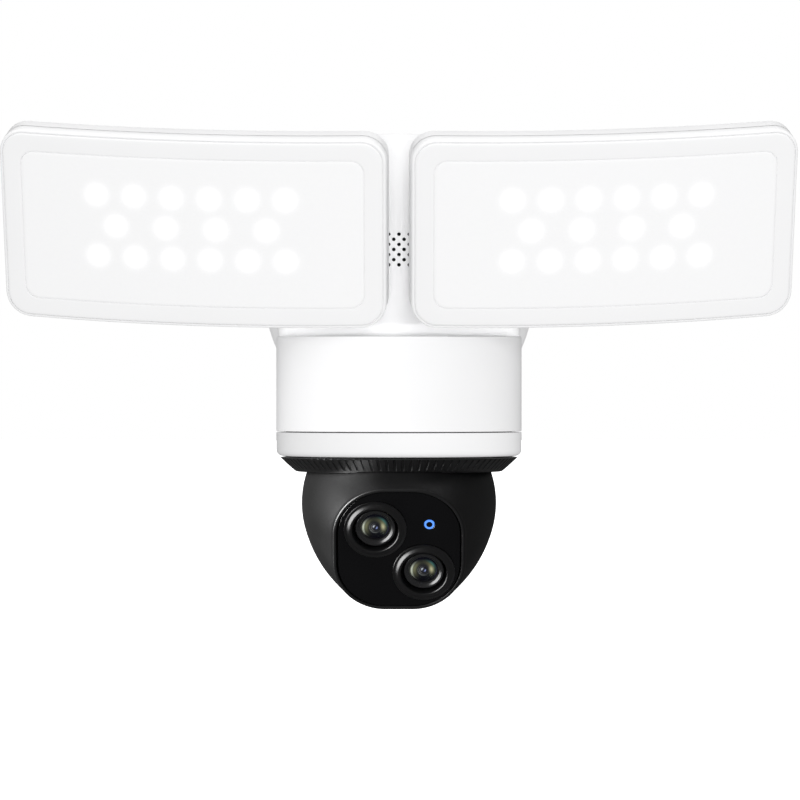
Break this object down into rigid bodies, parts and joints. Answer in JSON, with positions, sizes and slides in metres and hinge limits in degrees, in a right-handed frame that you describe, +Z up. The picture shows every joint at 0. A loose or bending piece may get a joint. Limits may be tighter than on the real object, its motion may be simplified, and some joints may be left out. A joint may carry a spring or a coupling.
{
  "type": "floodlight security camera",
  "caption": "Wall-mounted floodlight camera: two curved LED panels on tilt-and-swivel arms over a round white body with a panning, tilting black dual-lens ball head.",
  "frame": {"origin": "centre of the wall bracket's back face, on the wall plane", "axes": "+Y into the wall, -Y the front, +Z up, +X to the right seen from the front"},
  "size_m": [0.3158, 0.182, 0.1959],
  "materials": {
    "white_plastic": "fine satin moulded plastic",
    "gloss_white": "polished white plastic",
    "panel_white": "satin white plastic frame",
    "diffuser": "milky diffuser with small glow spots",
    "black_satin": "satin black dome",
    "black_gloss": "gloss black face",
    "black_ribbed": "matt black with fine moulded ribs",
    "black_plastic": "moulded black plastic",
    "lens_glass": "coated lens glass",
    "zinc_steel": "zinc-plated steel",
    "motor_steel": "pressed steel",
    "bearing_bronze": "sintered bronze",
    "rubber": "closed-cell rubber",
    "circuit_board": "green solder mask",
    "led_board_aluminium": "white-masked aluminium board",
    "led_lit": "lit white emitter",
    "status_blue": "lit blue light guide",
    "button_grey": "grey sealed button",
    "gear_plastic": "acetal"
  },
  "bodies": {
    "body": {"mounting_bracket": "zinc_steel", "canopy_gasket": "rubber", "canopy_studs": "zinc_steel", "cap_nuts": "zinc_steel", "canopy_shell": "white_plastic", "wire_grommet": "rubber", "neck_screws": "zinc_steel", "rear_housing": "white_plastic", "housing_gasket": "rubber", "front_cover": "white_plastic", "cover_screws": "zinc_steel", "speaker": "black_plastic", "power_board": "circuit_board", "power_parts": "black_plastic", "main_board": "circuit_board", "lower_shell": "gloss_white", "trim_ring": "gloss_white", "drive_chassis": "black_plastic", "chassis_screws": "zinc_steel", "pan_motor": "motor_steel", "pan_bearing": "bearing_bronze", "pan_retainer": "zinc_steel", "light_bracket_screws": "zinc_steel", "left_light_bracket": "white_plastic", "right_light_bracket": "white_plastic"},
    "button": {"sync_button": "button_grey"},
    "pinion": {"pan_pinion": "gear_plastic"},
    "turret": {"turntable": "black_plastic", "yoke": "motor_steel", "yoke_screws": "zinc_steel", "ribbed_ring": "black_ribbed", "tilt_motor": "motor_steel"},
    "head": {"head_shell": "black_satin", "head_frame": "black_plastic", "face_plate": "black_gloss", "lens_bezels": "black_gloss", "lens_barrels": "black_plastic", "lens_glasses": "lens_glass", "sensor_boards": "circuit_board", "status_light": "status_blue", "tilt_pins": "motor_steel", "head_screws": "zinc_steel"},
    "left_arm": {"left_light_arm": "white_plastic", "left_tilt_bolt": "zinc_steel"},
    "left_panel": {"left_panel_cover": "panel_white", "left_panel_window": "diffuser", "left_panel_housing": "white_plastic", "left_led_board": "led_board_aluminium", "left_leds": "led_lit", "left_swivel_pin": "zinc_steel"},
    "right_arm": {"right_light_arm": "white_plastic", "right_tilt_bolt": "zinc_steel"},
    "right_panel": {"right_panel_cover": "panel_white", "right_panel_window": "diffuser", "right_panel_housing": "white_plastic", "right_led_board": "led_board_aluminium", "right_leds": "led_lit", "right_swivel_pin": "zinc_steel"}
  },
  "joints": [
    {"name": "pan", "type": "hinge", "parent": "body", "child": "turret", "pos_m": [0, -0.102, -0.0887], "axis": [0, 0, 1], "range_deg": [-180, 180]},
    {"name": "pan_pinion_spin", "type": "hinge", "parent": "body", "child": "pinion", "pos_m": [0.0401, -0.102, -0.0387], "axis": [0, 0, 1], "range_deg": [-1260, 1260]},
    {"name": "head_tilt", "type": "hinge", "parent": "turret", "child": "head", "pos_m": [0, -0.102, -0.0887], "axis": [1, 0, 0], "range_deg": [0, 58]},
    {"name": "sync_button_press", "type": "slide", "parent": "body", "child": "button", "axis": [-0.766, -0.6428, 0], "range_m": [0, 0.0012], "stiffness_N_per_m": 400},
    {"name": "left_light_tilt", "type": "hinge", "parent": "body", "child": "left_arm", "pos_m": [-0.07912, -0.13732, 0.03028], "axis": [1, 0, 0], "range_deg": [-40, 4]},
    {"name": "left_light_swivel", "type": "hinge", "parent": "left_arm", "child": "left_panel", "pos_m": [-0.07912, -0.13732, 0.03028], "axis": [0, 0.3746, -0.9272], "range_deg": [-5, 35]},
    {"name": "right_light_tilt", "type": "hinge", "parent": "body", "child": "right_arm", "pos_m": [0.07912, -0.13732, 0.03028], "axis": [1, 0, 0], "range_deg": [-40, 4]},
    {"name": "right_light_swivel", "type": "hinge", "parent": "right_arm", "child": "right_panel", "pos_m": [0.07912, -0.13732, 0.03028], "axis": [0, -0.3746, 0.9272], "range_deg": [-5, 35]}
  ],
  "couplings": [
    {"joint": "pan_pinion_spin", "follows": "pan", "ratio": -7}
  ]
}
